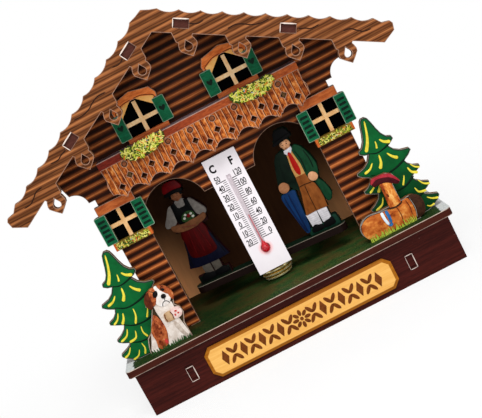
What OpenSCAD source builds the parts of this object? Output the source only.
// Wall weather station: a small plywood house with two figures on a gut string and a thermometer.
// Units are millimetres. X is right, the front faces -Y, Z is up, the base stands on Z = 0.

/* [Sheet material] */
// Thickness of the structural plywood sheets
ply = 4; // [3.6:0.1:4.4]
// Thickness of the small trim cutouts, shutters and scenery
trim = 3; // [2.6:0.1:3.4]
// Thickness of the black board behind each window
pane_sheet = 1.5; // [1.2:0.1:1.8]
// Gap all round a tab in its slot
tab_gap = 0.1; // [0.05:0.05:0.2]
// Width of the tabs on the structural sheets
tab_width = 8; // [7:0.5:9]

/* [Base] */
// Width of the front and back boards of the base
base_width = 180.4; // [176:0.4:182]
// Height of the base under the deck
base_height = 25.2; // [23:0.2:28]
// How far each cross board of the base stands in from the ends of the base
base_cross_inset = 26.9; // [24:0.2:29]
// Width of the deck
deck_width = 185.6; // [184:0.4:190]
// How far the deck stands out in front of the base
deck_lip = 5.2; // [4:0.2:7]
// Corner radius of the deck
deck_corner = 3; // [1:0.5:5]
// Width of the bare name plaque
plaque_width = 107.4; // [96:0.6:110]
// Height of the plaque
plaque_height = 17.6; // [14:0.4:18]
// Thickness of the plaque
plaque_thickness = 2; // [1.5:0.5:3]
// Cut corner of the plaque
plaque_corner = 3.6; // [2:0.4:5]

/* [Walls] */
// Porch depth, from the deck's front edge to the front wall
porch_depth = 24.5; // [22.5:0.5:28]
// Depth of the house, from the front wall's face to the back of the back wall
house_depth = 60.2; // [56:0.2:68]
// Width across the two piers of the front wall
wall_width = 134; // [132:0.5:136]
// Clear width of the doorway between the piers
doorway_width = 97.6; // [96:0.4:99]
// Distance between the centres of the two arches
arch_spacing = 63.4; // [62:0.2:64]
// Radius of the arches
arch_radius = 17.1; // [16.8:0.1:17.3]
// Height of the arch centres above the deck
arch_rise = 58.1; // [57:0.1:59]
// Height of the lower end of the middle pendant above the deck
pendant_rise = 60.8; // [59.8:0.1:62]
// Width of the wall's shoulders over the piers
shoulder_width = 141; // [139:0.5:144]
// Height of the shoulders above the deck
shoulder_rise = 83.1; // [82:0.1:85]
// Radius of the cove between shoulder and eave
cove_radius = 7.5; // [6:0.5:8]
// Distance between the centre planes of the side walls
side_wall_spacing = 124; // [122:1:126]
// Height of the attic floor's underside above the deck
attic_rise = 81; // [79:0.5:82]
// Radius of the hanging hole in the back wall
hanging_hole_radius = 4; // [3:0.5:5]
// Height of the hanging hole above the deck
hanging_hole_rise = 128; // [124:1:132]
// Radius of the hand hole behind the adjuster
hand_hole_radius = 12; // [10:1:14]

/* [Roof] */
// Slope of the roof in degrees
roof_pitch = 29.7; // [29:0.1:30.4]
// Height of the ridge above the deck, at the middle of the sheet
ridge_rise = 151.2; // [149.5:0.1:153]
// Front overhang, from the front wall's face to the fascia's face
roof_overhang = 36.7; // [34:0.1:40]
// Level distance from the ridge to the end of a roof panel
panel_reach = 95; // [92:0.5:97]
// Height of the tops of the scallops over the middle of the sheet
scallop_rise = 7.5; // [7:0.1:8.2]
// Depth of the fascia below the middle of the sheet
fascia_drop = 5.4; // [5:0.1:6]
// Number of scallops on each side
scallop_count = 10; // [8:1:12]
// Level distance from the ridge to the first scallop point
first_scallop = 7.35; // [6:0.05:9]
// Level distance from the ridge to the last scallop point
last_scallop = 96.75; // [95.5:0.05:98]
// Depth of a scallop below the line of its two points
scallop_depth = 1.4; // [0.8:0.1:1.8]
// Half width of the fascia at the eave tips
eave_reach = 104.2; // [103.5:0.1:106]
// Number of pierced drops on each side
drop_count = 4; // [3:1:4]
// Level distance from the ridge to the first drop
first_drop = 12.45; // [12:0.05:13]
// Level distance between neighbouring drops
drop_spacing = 22.13; // [21.6:0.01:22.3]
// Length of a drop under the fascia's lower edge
drop_length = 11.9; // [11:0.1:13]
// Half width of a drop
drop_half_width = 4.7; // [4.3:0.1:5]
// Radius of the rounded part of the drop's hole
drop_hole_radius = 1.9; // [1.4:0.1:2.2]
// Level distance from the ridge to the first tab slot
first_slot = 14.1; // [13.5:0.1:14.6]
// Level distance from the ridge to the second tab slot
second_slot = 58.4; // [57.5:0.1:59.2]

/* [Balcony] */
// Width of the balcony
balcony_width = 112.05; // [111:0.15:114]
// Distance from the wall to the balcony's front face
balcony_depth = 11.8; // [10.5:0.1:14]
// Height of the rail's top above the deck
rail_rise = 100.3; // [99.4:0.1:100.4]
// Height of the balcony board from its points to the rail
balcony_height = 18; // [17:0.2:19]
// Number of hanging points on the balcony board
balcony_points = 9; // [7:1:10]
// Radius of the round cuts between the points
balcony_cut_radius = 5.2; // [4:0.1:5.5]
// Half diagonal of the diamond holes
diamond_half = 1.8; // [1.2:0.1:2.1]
// Radius of the round holes under the rail
balcony_hole_radius = 1.5; // [1:0.1:2]
// Width of each flower bed cutout on the balcony
flower_bed_width = 24.7; // [22:0.1:27]

/* [Windows] */
// Distance of a lower window's middle from the centre line
lower_window_x = 58.5; // [58:0.1:59]
// Width of the visible lower panes
lower_pane_width = 15; // [14:0.2:16]
// Height of the lower panes above the deck, at their sill
lower_pane_rise = 58.75; // [57.5:0.05:60]
// Height of the lower panes
lower_pane_height = 16; // [15:0.2:17]
// Distance of an upper window's middle from the centre line
upper_window_x = 25.45; // [25:0.05:26]
// Width of the visible upper panes
upper_pane_width = 17.5; // [16.5:0.1:18]
// Height of the upper panes above the deck, at their sill
upper_pane_rise = 102.8; // [102.8:0.05:104]
// Height of the upper shutters
upper_shutter_height = 13.3; // [12.5:0.1:14]
// Height of the point of the upper window's head above its sill
upper_pane_height = 17.3; // [16.5:0.1:18]
// Width of a shutter
shutter_width = 6.2; // [5.6:0.1:6.6]
// Width of the glazing bars
glazing_bar = 2.1; // [1.6:0.1:2.6]

/* [Scenery] */
// Height of the trees
tree_height = 58.9; // [54:0.1:62]
// Half width of a tree at its lowest branches
tree_half_width = 18.5; // [17:0.1:18.7]
// Distance of the trees from the centre line
tree_x = 74; // [73.5:0.1:74.5]
// Clear depth between the front scenery and the trees
tree_setback = 3; // [2.9:0.1:3.4]
// Height of the sitting dog
dog_height = 31.9; // [29:0.1:34]
// Height of the fountain
fountain_height = 29.8; // [28:0.1:32]

/* [Thermometer] */
// Width of the thermometer card
card_width = 18.6; // [17:0.1:20]
// Height of the thermometer card
card_height = 67.4; // [66:0.2:68]
// Thickness of the thermometer card
card_thickness = 1.8; // [1.4:0.1:2.2]
// Height of the card's lower edge above the deck
card_rise = 7.7; // [7.5:0.1:8.6]
// Radius of the glass tube
tube_radius = 1.1; // [0.9:0.1:1.3]
// Radius of the glass bulb
bulb_radius = 2.5; // [2.2:0.05:2.6]

/* [Figures and gut string] */
// Distance of the gut string behind the front wall's face
gut_setback = 11.1; // [10.9:0.1:12.5]
// Angle of the arm as shown, the man forward
arm_angle = 13.6; // [0:0.2:20]
// Half length of the arm
arm_half_length = 44.8; // [43:0.2:45.2]
// Width of the arm
arm_width = 9; // [8:0.2:10]
// Clear height of the arm over the deck
arm_rise = 8.7; // [8.4:0.1:9.6]
// Distance of the man from the gut string
man_x = 34.2; // [33.6:0.1:34.6]
// Distance of the woman from the gut string
woman_x = 31; // [30.4:0.1:31.6]
// Height of the man
man_height = 59.6; // [57:0.2:60]
// Height of the woman
woman_height = 59.4; // [57:0.2:60]
// Radius of the gut string
gut_radius = 0.5; // [0.4:0.05:0.6]
// Radius of the brass weight's rim
weight_radius = 9.1; // [8:0.1:9.4]
// Radius of the adjuster knob
knob_radius = 4.2; // [3.6:0.1:4.2]
// Radius of the adjuster's turning shaft
knob_shaft_radius = 2.4; // [2:0.1:2.6]
// Radial running gap of the adjuster's shaft
shaft_gap = 0.1; // [0.05:0.05:0.1]
// Clear gap between pieces that move past each other
running_gap = 0.4; // [0.3:0.1:0.5]

/* [Hidden] */
$fn = 48;
slope = tan(roof_pitch);
deck_top = base_height + ply;
total_depth = roof_overhang + house_depth;
fascia_y = -total_depth / 2;
rear_y = total_depth / 2;
wall_y = fascia_y + roof_overhang;
wall_back_y = wall_y + ply;
back_wall_y = rear_y - ply;
deck_y = wall_y - porch_depth;
base_y = deck_y + deck_lip;
base_back_y = rear_y - ply;
panel_y = fascia_y + ply;
balcony_y = wall_y - balcony_depth;
gut_y = wall_y + gut_setback;
ridge_z = deck_top + ridge_rise;
half_sheet = ply / 2 / cos(roof_pitch);
rail_z = deck_top + rail_rise;
board_top_z = rail_z - ply;
board_low_z = board_top_z - balcony_height;
balcony_pitch = balcony_width / balcony_points;
shoulder_z = deck_top + shoulder_rise;
attic_z = deck_top + attic_rise;
attic_top_z = attic_z + ply;
arm_z = deck_top + arm_rise;
arm_top_z = arm_z + ply;
base_cross_x = base_width / 2 - base_cross_inset;
scenery_y = deck_y + 7.2;
tree_y = scenery_y + trim + tree_setback;
dog_x = -0.35 * deck_width;
fountain_x = 0.35 * deck_width;
side_wall_x = side_wall_spacing / 2;
side_tab_z = deck_top + 0.758 * shoulder_rise;
side_tab_y = (wall_back_y + back_wall_y - tab_width) / 2;
wall_tab_x = (wall_width + doorway_width) / 4;
back_tab_x = 40;
rail_tab_x = 30;
bracket_x = 45;
bracket_z = board_low_z + 6;
pane_front_y = wall_y - pane_sheet;
shutter_front_y = pane_front_y - trim;
card_front_y = wall_y - card_thickness;
card_z = deck_top + card_rise;
bulb_z = card_z + 0.1825 * card_height;
tube_top_z = card_z + 0.8116 * card_height;
liquid_top_z = card_z + 0.4748 * card_height;
bore_gap = 0.05;
lower_z = deck_top + lower_pane_rise;
upper_z = deck_top + upper_pane_rise;
// Heights of the branch tips and of the notches above them, as parts of the tree's height
tree_edge = [[0.54, 0], [0.75, 0.022], [0.92, 0.055], [1, 0.086], [0.985, 0.106], [0.8, 0.127],
    [0.66, 0.149], [0.62, 0.168], [0.77, 0.19], [0.885, 0.214], [0.905, 0.238], [0.74, 0.262],
    [0.59, 0.298], [0.52, 0.336], [0.68, 0.36], [0.85, 0.388], [0.855, 0.411], [0.7, 0.43],
    [0.585, 0.463], [0.535, 0.498], [0.71, 0.528], [0.825, 0.56], [0.8, 0.583], [0.57, 0.6],
    [0.415, 0.632], [0.3, 0.686], [0.415, 0.696], [0.52, 0.72], [0.505, 0.748], [0.385, 0.765],
    [0.285, 0.808], [0.22, 0.866], [0.165, 0.934], [0.12, 0.978], [0.055, 0.998]];

// Stand a flat outline upright, its front face at y and its thickness to the back
module upright(y, thickness) {
    translate([0, y + thickness, 0])
        rotate([90, 0, 0])
            linear_extrude(thickness)
                children();
}

// A block between two corners
module block(low, high) {
    translate(low)
        cube(high - low);
}

// Show the children on the left or the right side of the centre line
module on_side(side) {
    if (side < 0) {
        mirror([1, 0, 0])
            children();
    } else {
        children();
    }
}

// A flat rectangle given by its middle, foot, width and height
module plate(x, z, width, height) {
    translate([x - width / 2, z])
        square([width, height]);
}

// The tab that holds an upright sheet in the deck, as an outline
module foot_tab(x) {
    plate(x, base_height, tab_width, ply + 0.5);
}

// A slot through the deck for a foot tab
module deck_slot(x, y, thickness) {
    block([x - tab_width / 2 - tab_gap, y - tab_gap, base_height - 1],
        [x + tab_width / 2 + tab_gap, y + thickness + tab_gap, deck_top + 1]);
}

// Height of the roof sheet's middle at a level distance from the ridge
function roof_z(x) = ridge_z - slope * abs(x);

// Base

module base_board(y) {
    upright(y, ply)
        difference() {
            plate(0, 0, base_width, base_height);
            for (side = [-1, 1])
                plate(side * base_cross_x, base_height / 2 - tab_width / 2 - tab_gap,
                    ply + 2 * tab_gap, tab_width + 2 * tab_gap);
        }
}

module base_front_board() {
    color("#4a1f1a")
        base_board(base_y);
}

module base_back_board() {
    color("#4a1f1a")
        base_board(base_back_y);
}

// A cross board with a tab at each end
module base_cross(side) {
    x = side * base_cross_x;
    low = base_height / 2 - tab_width / 2;
    color("#9c6b3f") {
        block([x - ply / 2, base_y + ply, 0], [x + ply / 2, base_back_y, base_height]);
        block([x - ply / 2, base_y + 0.8, low], [x + ply / 2, base_back_y + ply - 0.8, low + tab_width]);
    }
}

module base_cross_left() {
    base_cross(-1);
}

module base_cross_right() {
    base_cross(1);
}

module plaque() {
    w = plaque_width / 2;
    low = (base_height - plaque_height) / 2 - 1;
    high = low + plaque_height;
    c = plaque_corner;
    color("#f0b050")
        upright(base_y - plaque_thickness, plaque_thickness)
            polygon([[-w + c, low], [w - c, low], [w, low + c], [w, high - c],
                [w - c, high], [-w + c, high], [-w, high - c], [-w, low + c]]);
}

module deck() {
    r = deck_corner;
    w = deck_width / 2;
    color("#1f5a2a")
        difference() {
            union() {
                block([-w + r, deck_y, base_height], [w - r, rear_y, deck_top]);
                block([-w, deck_y + r, base_height], [w, rear_y, deck_top]);
                for (side = [-1, 1])
                    translate([side * (w - r), deck_y + r, base_height])
                        cylinder(h = ply, r = r);
            }
            for (side = [-1, 1]) {
                deck_slot(side * wall_tab_x, wall_y, ply);
                deck_slot(side * back_tab_x, back_wall_y, ply);
                deck_slot(side * tree_x, tree_y, trim);
                translate([side * side_wall_x, side_tab_y - tab_gap, 0])
                    block([-ply / 2 - tab_gap, 0, base_height - 1],
                        [ply / 2 + tab_gap, tab_width + 2 * tab_gap, deck_top + 1]);
            }
            deck_slot(dog_x, scenery_y, trim);
            deck_slot(fountain_x, scenery_y, trim);
        }
}

// Walls

module doorway() {
    low = base_height - 1;
    arch_z = deck_top + arch_rise;
    plate(0, low, doorway_width, arch_z - low);
    plate(0, low, arch_spacing, deck_top + pendant_rise - low);
    for (side = [-1, 1])
        translate([side * arch_spacing / 2, arch_z])
            circle(r = arch_radius, $fn = 96);
}

module front_wall_outline() {
    pier = wall_width / 2;
    step = shoulder_width / 2;
    eave = step + cove_radius;
    cove_z = shoulder_z + cove_radius;
    end = eave + 2.6;
    difference() {
        union() {
            polygon([[-pier, deck_top], [pier, deck_top], [pier, shoulder_z], [eave, shoulder_z],
                [eave, cove_z], [eave + 1.6, cove_z + 5.2], [end, roof_z(end) - half_sheet],
                [0, ridge_z - half_sheet], [-end, roof_z(end) - half_sheet], [-eave - 1.6, cove_z + 5.2],
                [-eave, cove_z], [-eave, shoulder_z], [-pier, shoulder_z]]);
            for (side = [-1, 1])
                foot_tab(side * wall_tab_x);
        }
        difference() {
            doorway();
            for (side = [-1, 1])
                foot_tab(side * wall_tab_x);
        }
        for (side = [-1, 1]) {
            translate([side * eave, shoulder_z])
                circle(r = cove_radius);
            plate(side * side_wall_x, side_tab_z - tab_gap, ply + 2 * tab_gap, tab_width + 2 * tab_gap);
            plate(side * rail_tab_x, board_top_z - tab_gap, 12 + 2 * tab_gap, ply + 2 * tab_gap);
            plate(side * bracket_x, bracket_z + 1 - tab_gap, ply + 2 * tab_gap, 5 + 2 * tab_gap);
        }
    }
}

module front_wall() {
    color("#5a3018")
        upright(wall_y, ply)
            front_wall_outline();
}

module side_wall(side) {
    x = side * side_wall_x;
    top = roof_z(side_wall_x + ply / 2) - half_sheet;
    color("#7a5230")
        difference() {
            union() {
                block([x - ply / 2, wall_back_y, deck_top], [x + ply / 2, back_wall_y, top]);
                block([x - ply / 2, side_tab_y, base_height],
                    [x + ply / 2, side_tab_y + tab_width, deck_top + 1]);
                block([x - ply / 2, wall_y, side_tab_z],
                    [x + ply / 2, wall_back_y + 1, side_tab_z + tab_width]);
            }
            block([x - ply, side_tab_y - tab_gap, attic_z - tab_gap],
                [x + ply, side_tab_y + tab_width + tab_gap, attic_top_z + tab_gap]);
        }
}

module side_wall_left() {
    side_wall(-1);
}

module side_wall_right() {
    side_wall(1);
}

module back_wall() {
    w = wall_width / 2;
    color("#7a5230")
        upright(back_wall_y, ply)
            difference() {
                union() {
                    polygon([[-w, deck_top], [w, deck_top], [w, roof_z(w) - half_sheet],
                        [0, ridge_z - half_sheet], [-w, roof_z(w) - half_sheet]]);
                    for (side = [-1, 1])
                        foot_tab(side * back_tab_x);
                }
                translate([0, deck_top + hanging_hole_rise])
                    circle(r = hanging_hole_radius);
                translate([0, attic_top_z + 1 + hand_hole_radius])
                    circle(r = hand_hole_radius);
            }
}

// The floor over the room carries the adjuster
module attic_floor() {
    inner = side_wall_x - ply / 2;
    color("#9c6b3f")
        difference() {
            union() {
                block([-inner, wall_back_y, attic_z], [inner, back_wall_y, attic_top_z]);
                block([-inner - ply + 0.5, side_tab_y, attic_z],
                    [inner + ply - 0.5, side_tab_y + tab_width, attic_top_z]);
            }
            translate([0, gut_y, attic_z - 1])
                cylinder(h = ply + 2, r = knob_shaft_radius + shaft_gap);
        }
}

// Roof

// A rectangle lying on the middle of the roof sheet at a level distance from the ridge
module on_roof(x, length, height) {
    translate([x, roof_z(x)])
        rotate(-roof_pitch)
            square([length, height], center = true);
}

module roof_panel(side) {
    x = panel_reach;
    s = ply / 2 * sin(roof_pitch);
    c = ply / 2 * cos(roof_pitch);
    color("#6b4026")
        on_side(side) {
            upright(panel_y, rear_y - panel_y)
                polygon([[0, ridge_z - half_sheet], [x - s, roof_z(x) - c],
                    [x + s, roof_z(x) + c], [0, ridge_z + half_sheet]]);
            upright(fascia_y + 1, ply)
                for (place = [first_slot, second_slot])
                    on_roof(place, tab_width - 0.8, ply);
        }
}

module roof_panel_left() {
    roof_panel(-1);
}

module roof_panel_right() {
    roof_panel(1);
}

// Upper line of the fascia through the points of the scallops
function crest_z(x) = roof_z(x) + scallop_rise;

// Lower line of the fascia
function hem_z(x) = roof_z(x) - fascia_drop;

// Round cuts that leave the scallops standing between them
module scallops() {
    pitch = (last_scallop - first_scallop) / scallop_count;
    chord = pitch / cos(roof_pitch);
    r = chord * chord / 8 / scallop_depth + scallop_depth / 2;
    for (i = [0 : scallop_count - 1]) {
        x = first_scallop + (i + 0.5) * pitch;
        translate([x, crest_z(x)])
            rotate(-roof_pitch)
                translate([0, r - scallop_depth])
                    circle(r = r, $fn = 96);
    }
}

// A drop with a waist, round cheeks and a pointed end
module drop(x) {
    w = drop_half_width;
    tip = hem_z(x) - drop_length;
    inner_top = hem_z(x - w) + 1;
    outer_top = hem_z(x + w) + 1;
    polygon([[x, tip], [x + w * 0.5, tip + 2.2], [x + w * 0.95, tip + 4.4], [x + w, tip + 5.8],
        [x + w * 0.9, tip + 7.7], [x + w * 0.8, tip + 8.7], [x + w * 0.96, tip + 9.6],
        [x + w * 0.96, outer_top], [x - w * 0.96, inner_top], [x - w * 0.96, tip + 9.6],
        [x - w * 0.8, tip + 8.7], [x - w * 0.9, tip + 7.7], [x - w, tip + 5.8],
        [x - w * 0.95, tip + 4.4], [x - w * 0.5, tip + 2.2]]);
}

// The pointed round hole in a drop
module drop_hole(x) {
    r = drop_hole_radius;
    translate([x, hem_z(x) - drop_length + 5]) {
        circle(r = r, $fn = 32);
        polygon([[-r * 0.86, r * 0.5], [0, r * 1.8], [r * 0.86, r * 0.5], [0, 0]]);
    }
}

module fascia_half() {
    end = eave_reach;
    difference() {
        union() {
            polygon([[0, hem_z(0)], [end - 7.5, hem_z(end - 7.5)], [end - 0.8, crest_z(end) - 5.3],
                [end, crest_z(end) - 1.9], [end - 0.9, crest_z(end) - 0.3], [end - 4.6, crest_z(end) + 0.6],
                [last_scallop, crest_z(last_scallop)], [first_scallop, crest_z(first_scallop)],
                [first_scallop * 0.5, crest_z(first_scallop * 0.5) - 0.9],
                [0, ridge_z + scallop_rise - 1.3]]);
            for (i = [0 : drop_count - 1])
                drop(first_drop + i * drop_spacing);
        }
        scallops();
        for (i = [0 : drop_count - 1])
            drop_hole(first_drop + i * drop_spacing);
        for (place = [first_slot, second_slot])
            on_roof(place, tab_width - 0.8 + 2 * tab_gap, ply + 2 * tab_gap);
    }
}

module roof_fascia() {
    color("#7a4a2a")
        upright(fascia_y, ply)
            for (side = [0, 1])
                mirror([side, 0])
                    fascia_half();
}

// Balcony

module balcony_board_outline() {
    w = balcony_width / 2;
    p = balcony_pitch;
    difference() {
        polygon([[-w, board_low_z], [w, board_low_z], [w, board_low_z + 4], [w + 0.6, board_low_z + 9],
            [w - 0.5, board_low_z + 12], [w, board_top_z], [-w, board_top_z],
            [-w + 0.5, board_low_z + 12], [-w - 0.6, board_low_z + 9], [-w, board_low_z + 4]]);
        for (i = [0 : balcony_points]) {
            x = -w + i * p;
            translate([x, board_low_z - 1.4])
                circle(r = balcony_cut_radius);
            plate(x, board_low_z - 2, p - 0.4, 2.4);
            for (side = [-1, 1])
                translate([x, board_low_z])
                    polygon([[side * (p / 2 - 1.6), 2], [side * (p / 2 - 0.2), 0],
                        [side * (p / 2 - 3), -1]]);
        }
        for (i = [0 : balcony_points - 1])
            diamond(-w + (i + 0.5) * p, board_low_z + 5.8);
        for (i = [1 : balcony_points - 1]) {
            diamond(-w + i * p, board_low_z + 9.6);
            translate([-w + i * p, board_top_z - 2.3])
                circle(r = balcony_hole_radius, $fn = 32);
        }
    }
}

module diamond(x, z) {
    translate([x, z])
        polygon([[-diamond_half, 0], [0, -diamond_half], [diamond_half, 0], [0, diamond_half]]);
}

module balcony_board() {
    color("#c8793a")
        upright(balcony_y, trim)
            balcony_board_outline();
}

module balcony_rail() {
    w = balcony_width / 2 + 0.3;
    color("#7a3022") {
        block([-w, balcony_y, board_top_z], [w, wall_y, rail_z]);
        for (side = [-1, 1])
            translate([side * rail_tab_x, 0, 0])
                block([-6, wall_y - 1, board_top_z], [6, wall_back_y, rail_z]);
    }
}

module balcony_bracket(side) {
    x = side * bracket_x;
    color("#7a5230") {
        block([x - ply / 2, balcony_y + trim, bracket_z], [x + ply / 2, wall_y, board_top_z]);
        block([x - ply / 2, wall_y - 1, bracket_z + 1], [x + ply / 2, wall_back_y, bracket_z + 6]);
    }
}

module balcony_bracket_left() {
    balcony_bracket(-1);
}

module balcony_bracket_right() {
    balcony_bracket(1);
}

// A flower bed cutout with a wavy top
module balcony_flowers(side) {
    w = flower_bed_width / 2;
    bed = 0.43 * balcony_height;
    low = board_top_z - 0.19 * balcony_height;
    edge = [[0.93, 0.5], [0.8, 0.3], [0.62, 0.24], [0.45, 0.12], [0.2, 0.04], [-0.05, 0.1],
        [-0.25, 0], [-0.5, 0.05], [-0.72, 0.16], [-0.8, 0.36], [-0.97, 0.55], [-1, 0.82], [-0.92, 0.99],
        [-0.74, 0.93], [-0.56, 1.02], [-0.37, 0.95], [-0.18, 1.03], [0.02, 0.96], [0.22, 1.02],
        [0.4, 0.94], [0.58, 1.01], [0.76, 0.95], [0.92, 1], [1, 0.85]];
    last = len(edge) - 1;
    outline = [for (i = [0 : last])
        let (p = side > 0 ? edge[i] : edge[last - i])
        [-side * p[0] * w, low + p[1] * bed]];
    color("#b8c840")
        upright(balcony_y - trim, trim)
            translate([side * 0.2745 * balcony_width, 0])
                polygon(outline);
}

module balcony_flowers_left() {
    balcony_flowers(-1);
}

module balcony_flowers_right() {
    balcony_flowers(1);
}

// Lower windows

module lower_pane(side) {
    color("#101014")
        upright(pane_front_y, pane_sheet)
            plate(side * lower_window_x, lower_z, lower_pane_width + 2 * shutter_width - 2,
                lower_pane_height);
}

module lower_pane_left() {
    lower_pane(-1);
}

module lower_pane_right() {
    lower_pane(1);
}

module lower_bars(side) {
    color("#e0b070")
        upright(pane_front_y - 1.2, 1.2) {
            plate(side * lower_window_x, lower_z, glazing_bar, lower_pane_height);
            plate(side * lower_window_x, lower_z + lower_pane_height / 2 - glazing_bar / 2 + 0.3,
                lower_pane_width, glazing_bar);
        }
}

module lower_bars_left() {
    lower_bars(-1);
}

module lower_bars_right() {
    lower_bars(1);
}

module lower_head(side) {
    color("#b0501f")
        upright(wall_y - ply, ply)
            plate(side * lower_window_x, lower_z + lower_pane_height, 21.3, 5);
}

module lower_head_left() {
    lower_head(-1);
}

module lower_head_right() {
    lower_head(1);
}

// The lower flower bed stands a little further out than the shutters
module lower_flowers(side) {
    color("#b8a838")
        upright(wall_y - 5.4, 5.4)
            plate(side * lower_window_x, lower_z - 4.1, 21.4, 4.1);
}

module lower_flowers_left() {
    lower_flowers(-1);
}

module lower_flowers_right() {
    lower_flowers(1);
}

// A shutter with small round corners, its middle at x
module shutter(x, z, height) {
    r = 0.6;
    w = shutter_width;
    color("#0f6b3c")
        upright(shutter_front_y, trim)
            union() {
                plate(x, z + r, w, height - 2 * r);
                plate(x, z, w - 2 * r, height);
                for (i = [-1, 1], top = [r, height - r])
                    translate([x + i * (w / 2 - r), z + top])
                        circle(r = r, $fn = 16);
            }
}

module lower_shutter(side, place) {
    reach = (lower_pane_width + shutter_width) / 2;
    shutter(side * (lower_window_x + place * reach), lower_z, lower_pane_height);
}

module lower_shutter_left_outer() {
    lower_shutter(-1, 1);
}

module lower_shutter_left_inner() {
    lower_shutter(-1, -1);
}

module lower_shutter_right_inner() {
    lower_shutter(1, -1);
}

module lower_shutter_right_outer() {
    lower_shutter(1, 1);
}

// Upper windows

// Half of the window's pointed head, from its spring to its point
function head_curve(side) = [for (a = [0 : 15 : 90])
    [side * upper_pane_width / 2 * cos(a), upper_z + 10 + (upper_pane_height - 10) * pow(sin(a), 1.15)]];

module upper_pane(side) {
    x = side * upper_window_x;
    w = upper_pane_width / 2;
    color("#101014")
        upright(pane_front_y, pane_sheet)
            translate([x, 0])
                union() {
                    polygon(concat([[-w, upper_z], [w, upper_z]], head_curve(1),
                        [for (i = [5 : -1 : 0]) head_curve(-1)[i]]));
                    for (i = [-1, 1])
                        plate(i * (w + 2.4), upper_z, 5, upper_shutter_height - 0.4);
                }
}

module upper_pane_left() {
    upper_pane(-1);
}

module upper_pane_right() {
    upper_pane(1);
}

module upper_bars(side) {
    x = side * upper_window_x;
    color("#e0b070")
        upright(pane_front_y - 1.2, 1.2) {
            plate(x, upper_z, glazing_bar, upper_pane_height - 0.8);
            plate(x, upper_z + 5.4, upper_pane_width, glazing_bar);
        }
}

module upper_bars_left() {
    upper_bars(-1);
}

module upper_bars_right() {
    upper_bars(1);
}

// The carved board over the window, cut out along the pointed head
module upper_head(side) {
    x = side * upper_window_x;
    w = upper_pane_width / 2 + 3.4;
    half = upper_pane_width / 2 - 0.1;
    low = upper_z + upper_shutter_height + 0.2;
    high = upper_z + upper_pane_height + 4.8;
    color("#c0602a")
        upright(wall_y - ply, ply)
            translate([x, 0])
                difference() {
                    polygon([[-half, upper_z + 10], [half, upper_z + 10], [half, low], [w, low],
                        [w + 0.3, low + 2.4], [w - 1.8, high - 2.3], [w / 2, high - 1.5], [0, high],
                        [-w / 2, high - 1.5], [-w + 1.8, high - 2.3], [-w - 0.3, low + 2.4], [-w, low],
                        [-half, low]]);
                    translate([0, 0.1])
                        polygon(concat(
                            [[-half - 1, upper_z], [half + 1, upper_z], [half + 1, upper_z + 10]],
                            head_curve(1), [for (i = [5 : -1 : 0]) head_curve(-1)[i]],
                            [[-half - 1, upper_z + 10]]));
                }
}

module upper_head_left() {
    upper_head(-1);
}

module upper_head_right() {
    upper_head(1);
}

module upper_sill(side) {
    color("#a04028")
        upright(wall_y - ply - 0.6, ply + 0.6)
            plate(side * upper_window_x, upper_z - 2.4, 22.8, 2.4);
}

module upper_sill_left() {
    upper_sill(-1);
}

module upper_sill_right() {
    upper_sill(1);
}

module upper_shutter(side, place) {
    reach = (upper_pane_width + shutter_width) / 2;
    shutter(side * (upper_window_x + place * reach), upper_z, upper_shutter_height);
}

module upper_shutter_left_outer() {
    upper_shutter(-1, 1);
}

module upper_shutter_left_inner() {
    upper_shutter(-1, -1);
}

module upper_shutter_right_inner() {
    upper_shutter(1, -1);
}

module upper_shutter_right_outer() {
    upper_shutter(1, 1);
}

// Scenery

module tree(x) {
    right = [for (p = tree_edge) [p[0] * tree_half_width, p[1] * tree_height]];
    left = [for (i = [len(right) - 1 : -1 : 0]) [-right[i][0], right[i][1]]];
    color("#0f7a35")
        upright(tree_y, trim)
            translate([x, deck_top]) {
                polygon(concat(right, left));
                plate(0, -ply, tab_width, ply + 2);
            }
}

module tree_left() {
    tree(-tree_x);
}

module tree_right() {
    tree(tree_x);
}

// The dog sits with its head to the right
module dog() {
    h = dog_height;
    color("#d8cfc4")
        upright(scenery_y, trim)
            translate([dog_x, deck_top]) {
                polygon([[-0.398 * h, 0], [0.345 * h, 0], [0.332 * h, 0.26 * h], [0.364 * h, 0.33 * h],
                    [0.401 * h, 0.42 * h], [0.389 * h, 0.52 * h], [0.326 * h, 0.6 * h],
                    [0.345 * h, 0.66 * h],
                    [0.389 * h, 0.74 * h], [0.376 * h, 0.86 * h], [0.295 * h, 0.95 * h], [0.188 * h, h],
                    [0.063 * h, 0.985 * h], [-0.056 * h, 0.9 * h], [-0.107 * h, 0.76 * h],
                    [-0.031 * h, 0.69 * h], [-0.113 * h, 0.55 * h], [-0.232 * h, 0.34 * h],
                    [-0.32 * h, 0.28 * h], [-0.373 * h, 0.14 * h]]);
                plate(0, -ply, tab_width, ply + 2);
            }
}

// A log trough with a post and a small roof
module fountain() {
    h = fountain_height;
    s = h / 29.8;
    color("#b5652e")
        upright(scenery_y, trim)
            translate([fountain_x, deck_top]) {
                plate(0, 2 * s, 29 * s, 11 * s);
                for (side = [-1, 1])
                    translate([side * 11.6 * s, 7.2 * s])
                        circle(r = 6.2 * s, $fn = 40);
                plate(0, 0, 26 * s, 5 * s);
                plate(4.4 * s, 8 * s, 6.2 * s, 0.6 * h);
                polygon([[-2.6 * s, 0.9 * h], [3.5 * s, 0.865 * h], [8 * s, 0.79 * h], [11.6 * s, 0.74 * h],
                    [11.4 * s, 0.78 * h], [9.4 * s, 0.92 * h], [6.6 * s, 0.985 * h], [-1.4 * s, h]]);
                plate(0, -ply, tab_width, ply + 2);
            }
}

// Thermometer

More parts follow.
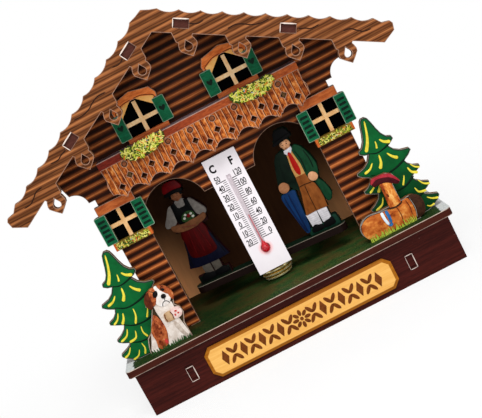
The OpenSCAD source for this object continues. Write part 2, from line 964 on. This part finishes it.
module thermometer_card() {
    color("#efe9ec")
        difference() {
            upright(card_front_y, card_thickness)
                plate(0, card_z, card_width, card_height);
            translate([0, card_front_y, bulb_z - bulb_radius])
                cylinder(h = tube_top_z - bulb_z + 1.4 * bulb_radius, r = tube_radius + bore_gap);
            translate([0, card_front_y, bulb_z])
                sphere(r = bulb_radius + 0.1, $fn = 32);
        }
}

// The room in front of the wall that the tube may take
module tube_room() {
    block([-2 * bulb_radius, card_front_y - 2 * bulb_radius, bulb_z - 2 * bulb_radius],
        [2 * bulb_radius, wall_y - 0.1, tube_top_z + 2 * bulb_radius]);
}

module thermometer_tube() {
    color("#c8ccd0")
        intersection() {
            difference() {
                union() {
                    translate([0, card_front_y, bulb_z])
                        cylinder(h = tube_top_z - bulb_z, r = tube_radius);
                    translate([0, card_front_y, bulb_z])
                        sphere(r = bulb_radius, $fn = 32);
                    translate([0, card_front_y, tube_top_z])
                        sphere(r = tube_radius, $fn = 32);
                }
                translate([0, card_front_y, bulb_z])
                    cylinder(h = tube_top_z - bulb_z - 1, r = 0.5 * tube_radius);
                translate([0, card_front_y, bulb_z])
                    sphere(r = bulb_radius - 0.4, $fn = 32);
            }
            tube_room();
        }
}

module thermometer_liquid() {
    color("#c8001a") {
        translate([0, card_front_y, bulb_z])
            cylinder(h = liquid_top_z - bulb_z, r = 0.5 * tube_radius - 0.05);
        intersection() {
            translate([0, card_front_y, bulb_z])
                sphere(r = bulb_radius - 0.45, $fn = 32);
            tube_room();
        }
    }
}

// Figures on their arm

// Turn the arm and everything on it to the angle shown
module on_arm() {
    translate([0, gut_y, 0])
        rotate([0, 0, -arm_angle])
            children();
}

module figure_arm() {
    end = arm_half_length - arm_width / 2;
    color("#2a3a22")
        on_arm()
            difference() {
                union() {
                    block([-end, -arm_width / 2, arm_z], [end, arm_width / 2, arm_top_z]);
                    for (side = [-1, 1])
                        translate([side * end, 0, arm_z])
                            cylinder(h = ply, r = arm_width / 2);
                }
                translate([0, 0, arm_z - 1])
                    cylinder(h = ply + 2, r = 2 + bore_gap);
                for (x = [man_x, -woman_x])
                    block([x - 5 - tab_gap, -trim / 2 - tab_gap, arm_z + 1],
                        [x + 5 + tab_gap, trim / 2 + tab_gap, arm_top_z + 1]);
            }
}

// Place a figure's outline on the arm, its foot at zero height, with its tab
module on_foot(x) {
    on_arm()
        upright(-trim / 2, trim)
            translate([x, arm_top_z]) {
                children();
                plate(0, -ply + 1.2, 10, ply);
            }
}

module man() {
    h = 59.6;
    color("#0f3d26")
        on_foot(man_x)
            scale(man_height / h) {
                plate(-0.2, 0, 18, 0.07 * h);
                polygon([[4.9, 0.05 * h], [8.4, 0.05 * h], [8.4, 0.094 * h], [7.7, 0.109 * h],
                    [5.8, 0.109 * h], [4.9, 0.094 * h]]);
                plate(-3.7, 0.03 * h, 6, 0.18 * h);
                plate(2.5, 0.03 * h, 6, 0.18 * h);
                polygon([[-6.5, 0.19 * h], [6.5, 0.19 * h], [5.8, 0.4 * h], [3.6, 0.55 * h],
                    [-2.6, 0.55 * h], [-4.6, 0.3 * h]]);
                polygon([[5.6, 0.3 * h], [7.6, 0.235 * h], [9.9, 0.235 * h], [11.5, 0.285 * h],
                    [11.2, 0.335 * h], [9.8, 0.4 * h], [8.8, 0.45 * h], [9.9, 0.5 * h], [11.1, 0.585 * h],
                    [10.2, 0.67 * h], [7.8, 0.77 * h], [4.8, 0.81 * h], [-3.6, 0.81 * h], [-6.6, 0.795 * h],
                    [-8.8, 0.745 * h], [-10.6, 0.655 * h], [-12.1, 0.58 * h], [-12.8, 0.53 * h],
                    [-8, 0.5 * h], [-4, 0.42 * h]]);
                translate([6.7, 0.49 * h])
                    circle(r = 2.6, $fn = 24);
                translate([-10.2, 0.5 * h])
                    circle(r = 3, $fn = 24);
                polygon([[-10.4, 0.04 * h], [-8.6, 0.035 * h], [-7.4, 0.08 * h], [-6.5, 0.2 * h],
                    [-5.7, 0.39 * h], [-5.1, 0.46 * h], [-13.6, 0.46 * h], [-14, 0.4 * h], [-12.6, 0.25 * h],
                    [-11.3, 0.09 * h]]);
                plate(0.6, 0.78 * h, 4.6, 0.08 * h);
                translate([0.6, 0.86 * h])
                    scale([0.85, 1])
                        circle(r = 0.06 * h);
                polygon([[-4.6, 0.875 * h], [5.6, 0.895 * h], [5.5, 0.93 * h], [-4.7, 0.915 * h]]);
                polygon([[-3.4, 0.9 * h], [5.2, 0.9 * h], [5, 0.965 * h], [3.4, 0.995 * h], [0.8, h],
                    [-1.7, 0.995 * h], [-3.2, 0.965 * h]]);
            }
}

module woman() {
    h = 59.4;
    color("#8a0808")
        on_foot(-woman_x)
            scale(woman_height / h) {
                plate(-0.8, 0, 19, 0.08 * h);
                plate(-2.9, 0.02 * h, 5.2, 0.2 * h);
                plate(2.7, 0.02 * h, 5.2, 0.2 * h);
                polygon([[-12, 0.182 * h], [-7, 0.162 * h], [5, 0.158 * h], [12, 0.168 * h],
                    [10.2, 0.27 * h],
                    [7.6, 0.44 * h], [6.4, 0.56 * h], [-6.4, 0.56 * h], [-7.3, 0.44 * h], [-9.7, 0.3 * h]]);
                polygon([[-5.4, 0.52 * h], [5.4, 0.52 * h], [6, 0.77 * h], [3, 0.81 * h], [-3, 0.81 * h],
                    [-6, 0.77 * h]]);
                polygon([[4, 0.52 * h], [9.8, 0.53 * h], [10.6, 0.6 * h], [12, 0.64 * h], [10, 0.71 * h],
                    [7.2, 0.775 * h], [4.6, 0.79 * h]]);
                polygon([[-4, 0.52 * h], [-4.6, 0.79 * h], [-7.2, 0.775 * h], [-10, 0.71 * h],
                    [-13, 0.64 * h], [-12.9, 0.605 * h], [-10, 0.595 * h], [-9.8, 0.53 * h]]);
                plate(0.2, 0.78 * h, 4.2, 0.08 * h);
                translate([0.2, 0.855 * h])
                    scale([0.85, 1])
                        circle(r = 0.06 * h);
                translate([0.2, 0.905 * h])
                    scale([1, 0.36])
                        circle(r = 0.09 * h);
                translate([0.2, 0.945 * h])
                    scale([1, 0.72])
                        circle(r = 0.0764 * h);
            }
}

// The collar keeps the arm on the spigot of the weight
module arm_collar() {
    color("#c8a850")
        on_arm()
            translate([0, 0, arm_top_z])
                difference() {
                    cylinder(h = 3, r = 3.4);
                    translate([0, 0, -1])
                        cylinder(h = 5, r = gut_radius + bore_gap);
                }
}

// A turned brass dish with a narrow foot under the arm's middle
module brass_weight() {
    low = deck_top + 0.6;
    color("#c8a850")
        on_arm()
            rotate_extrude($fn = 72)
                polygon([[gut_radius + bore_gap, low], [3, low], [3.8, low + 1], [4.6, low + 1.6],
                    [5.6, low + 2.1], [6, low + 3], [weight_radius - 0.6, low + 4.2],
                    [weight_radius, low + 4.8],
                    [weight_radius - 0.3, low + 5.6], [weight_radius - 2.4, low + 6.2], [4.4, arm_z - 0.8],
                    [4, arm_z], [2, arm_z], [2, arm_top_z], [gut_radius + bore_gap, arm_top_z]]);
}

module gut_string() {
    color("#d9c79a")
        on_arm()
            translate([0, 0, deck_top + 0.8])
                cylinder(h = attic_top_z + 6 - deck_top - 0.8, r = gut_radius, $fn = 24);
}

// Adjuster

// A turned knob whose shaft goes down through the attic floor
module adjuster_knob() {
    color("#b98a52")
        translate([0, gut_y, 0])
            difference() {
                rotate_extrude()
                    polygon([[0, attic_z - 1.5], [knob_shaft_radius, attic_z - 1.5],
                        [knob_shaft_radius, attic_top_z + running_gap],
                        [knob_radius, attic_top_z + running_gap], [knob_radius, attic_top_z + 5.6],
                        [knob_radius - 0.8, attic_top_z + 7],
                        [0, attic_top_z + 7.6]]);
                translate([0, 0, attic_z - 3])
                    cylinder(h = ply + 9.6, r = gut_radius + running_gap, $fn = 32);
            }
}

base_front_board();
base_back_board();
base_cross_left();
base_cross_right();
plaque();
deck();
front_wall();
side_wall_left();
side_wall_right();
back_wall();
attic_floor();
roof_panel_left();
roof_panel_right();
roof_fascia();
lower_pane_left();
lower_pane_right();
lower_bars_left();
lower_bars_right();
lower_head_left();
lower_head_right();
lower_flowers_left();
lower_flowers_right();
lower_shutter_left_outer();
lower_shutter_left_inner();
lower_shutter_right_inner();
lower_shutter_right_outer();
upper_pane_left();
upper_pane_right();
upper_bars_left();
upper_bars_right();
upper_head_left();
upper_head_right();
upper_sill_left();
upper_sill_right();
upper_shutter_left_outer();
upper_shutter_left_inner();
upper_shutter_right_inner();
upper_shutter_right_outer();
balcony_board();
balcony_rail();
balcony_bracket_left();
balcony_bracket_right();
balcony_flowers_left();
balcony_flowers_right();
tree_left();
tree_right();
dog();
fountain();
thermometer_card();
thermometer_tube();
thermometer_liquid();
figure_arm();
man();
woman();
arm_collar();
brass_weight();
gut_string();
adjuster_knob();
